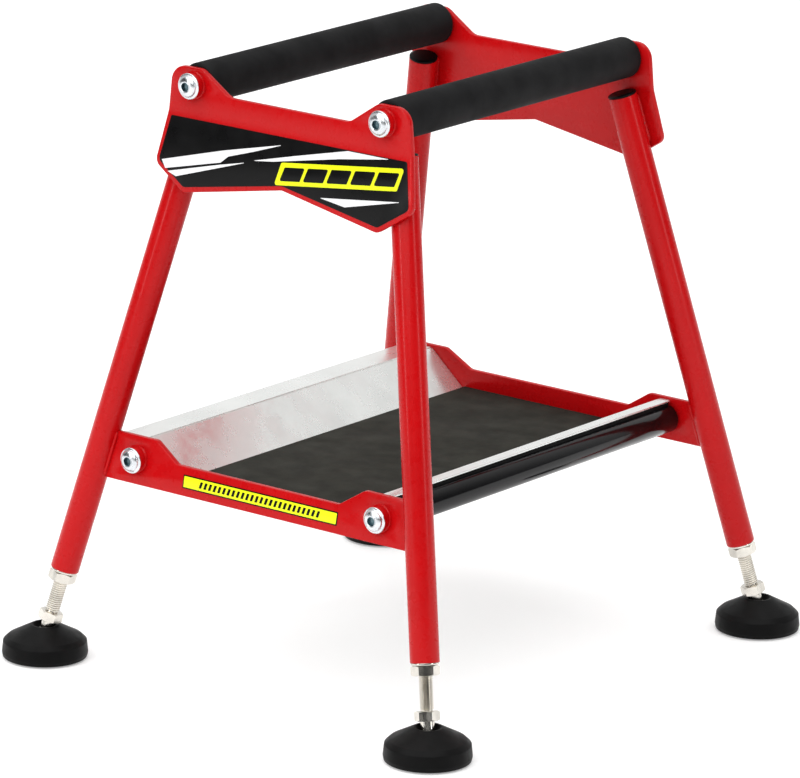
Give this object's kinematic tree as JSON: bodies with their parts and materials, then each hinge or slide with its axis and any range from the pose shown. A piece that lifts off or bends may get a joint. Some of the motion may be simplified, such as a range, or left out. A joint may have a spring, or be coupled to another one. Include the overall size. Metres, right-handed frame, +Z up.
{
  "type": "motorcycle work stand",
  "caption": "Low four-legged work stand with two padded top rails, bent side plates, a fold-sided tool tray between the legs and screw-in levelling feet.",
  "frame": {"origin": "centre of the stand's footprint on the floor", "axes": "+Z up, +Y along the top rails, +X towards the front"},
  "size_m": [0.398, 0.4386, 0.4255],
  "materials": {
    "red_paint": "glossy powder coat",
    "black_paint": "glossy",
    "zinc_steel": "bright zinc",
    "aluminium": "satin",
    "black_plastic": "satin",
    "black_rubber": "matte",
    "grey_mat": "fine grain",
    "sticker_black": "gloss film",
    "sticker_yellow": "gloss film"
  },
  "bodies": {
    "frame": {"leg_front_left": "red_paint", "leg_cap_front_left": "black_plastic", "leg_insert_front_left": "zinc_steel", "leg_rear_left": "red_paint", "leg_cap_rear_left": "black_plastic", "leg_insert_rear_left": "zinc_steel", "leg_front_right": "red_paint", "leg_cap_front_right": "black_plastic", "leg_insert_front_right": "zinc_steel", "leg_rear_right": "red_paint", "leg_cap_rear_right": "black_plastic", "leg_insert_rear_right": "zinc_steel", "upper_plate_left": "red_paint", "lower_plate_left": "red_paint", "rail_bosses_left": "red_paint", "cross_bosses_left": "red_paint", "plate_sticker_left": "sticker_black", "rib_label_left": "sticker_yellow", "upper_plate_right": "red_paint", "lower_plate_right": "red_paint", "rail_bosses_right": "red_paint", "cross_bosses_right": "red_paint", "plate_sticker_right": "sticker_black", "rib_label_right": "sticker_yellow", "rail_tube_rear": "black_paint", "rail_sleeve_rear": "black_rubber", "cross_tube_rear": "black_paint", "tray_seat_rear": "black_rubber", "rail_tube_front": "black_paint", "rail_sleeve_front": "black_rubber", "cross_tube_front": "black_paint", "tray_seat_front": "black_rubber", "tray": "aluminium", "tray_mat": "grey_mat", "rail_bolts": "zinc_steel", "rail_tube_plugs": "zinc_steel", "cross_bolts": "zinc_steel", "cross_tube_plugs": "zinc_steel"},
    "foot_stud_front_left": {"foot_stud_front_left": "zinc_steel"},
    "lock_nut_front_left": {"lock_nut_front_left": "zinc_steel"},
    "foot_pad_front_left": {"foot_pad_front_left": "black_plastic", "foot_grip_front_left": "black_rubber"},
    "foot_stud_rear_left": {"foot_stud_rear_left": "zinc_steel"},
    "lock_nut_rear_left": {"lock_nut_rear_left": "zinc_steel"},
    "foot_pad_rear_left": {"foot_pad_rear_left": "black_plastic", "foot_grip_rear_left": "black_rubber"},
    "foot_stud_front_right": {"foot_stud_front_right": "zinc_steel"},
    "lock_nut_front_right": {"lock_nut_front_right": "zinc_steel"},
    "foot_pad_front_right": {"foot_pad_front_right": "black_plastic", "foot_grip_front_right": "black_rubber"},
    "foot_stud_rear_right": {"foot_stud_rear_right": "zinc_steel"},
    "lock_nut_rear_right": {"lock_nut_rear_right": "zinc_steel"},
    "foot_pad_rear_right": {"foot_pad_rear_right": "black_plastic", "foot_grip_rear_right": "black_rubber"}
  },
  "joints": [
    {"name": "foot_slide_front_left", "type": "slide", "parent": "frame", "child": "foot_stud_front_left", "axis": [-0.2116, 0.174, 0.9617], "range_m": [-0.02, 0.021]},
    {"name": "nut_spin_front_left", "type": "hinge", "parent": "frame", "child": "lock_nut_front_left", "pos_m": [0.15961, -0.1816, 0.05861], "axis": [-0.2116, 0.174, 0.9617], "continuous": true},
    {"name": "pad_tilt_front_left", "type": "hinge", "parent": "foot_stud_front_left", "child": "foot_pad_front_left", "pos_m": [0.16898, -0.18931, 0.016], "axis": [-0.6351, -0.7724, 0], "range_deg": [-2, 16]},
    {"name": "foot_slide_rear_left", "type": "slide", "parent": "frame", "child": "foot_stud_rear_left", "axis": [0.2116, 0.174, 0.9617], "range_m": [-0.02, 0.021]},
    {"name": "nut_spin_rear_left", "type": "hinge", "parent": "frame", "child": "lock_nut_rear_left", "pos_m": [-0.15961, -0.1816, 0.05861], "axis": [0.2116, 0.174, 0.9617], "continuous": true},
    {"name": "pad_tilt_rear_left", "type": "hinge", "parent": "foot_stud_rear_left", "child": "foot_pad_rear_left", "pos_m": [-0.16898, -0.18931, 0.016], "axis": [-0.6351, 0.7724, 0], "range_deg": [-2, 16]},
    {"name": "foot_slide_front_right", "type": "slide", "parent": "frame", "child": "foot_stud_front_right", "axis": [-0.2116, -0.174, 0.9617], "range_m": [-0.02, 0.021]},
    {"name": "nut_spin_front_right", "type": "hinge", "parent": "frame", "child": "lock_nut_front_right", "pos_m": [0.15961, 0.1816, 0.05861], "axis": [-0.2116, -0.174, 0.9617], "continuous": true},
    {"name": "pad_tilt_front_right", "type": "hinge", "parent": "foot_stud_front_right", "child": "foot_pad_front_right", "pos_m": [0.16898, 0.18931, 0.016], "axis": [0.6351, -0.7724, 0], "range_deg": [-2, 16]},
    {"name": "foot_slide_rear_right", "type": "slide", "parent": "frame", "child": "foot_stud_rear_right", "axis": [0.2116, -0.174, 0.9617], "range_m": [-0.02, 0.021]},
    {"name": "nut_spin_rear_right", "type": "hinge", "parent": "frame", "child": "lock_nut_rear_right", "pos_m": [-0.15961, 0.1816, 0.05861], "axis": [0.2116, -0.174, 0.9617], "continuous": true},
    {"name": "pad_tilt_rear_right", "type": "hinge", "parent": "foot_stud_rear_right", "child": "foot_pad_rear_right", "pos_m": [-0.16898, 0.18931, 0.016], "axis": [0.6351, 0.7724, 0], "range_deg": [-2, 16]}
  ]
}
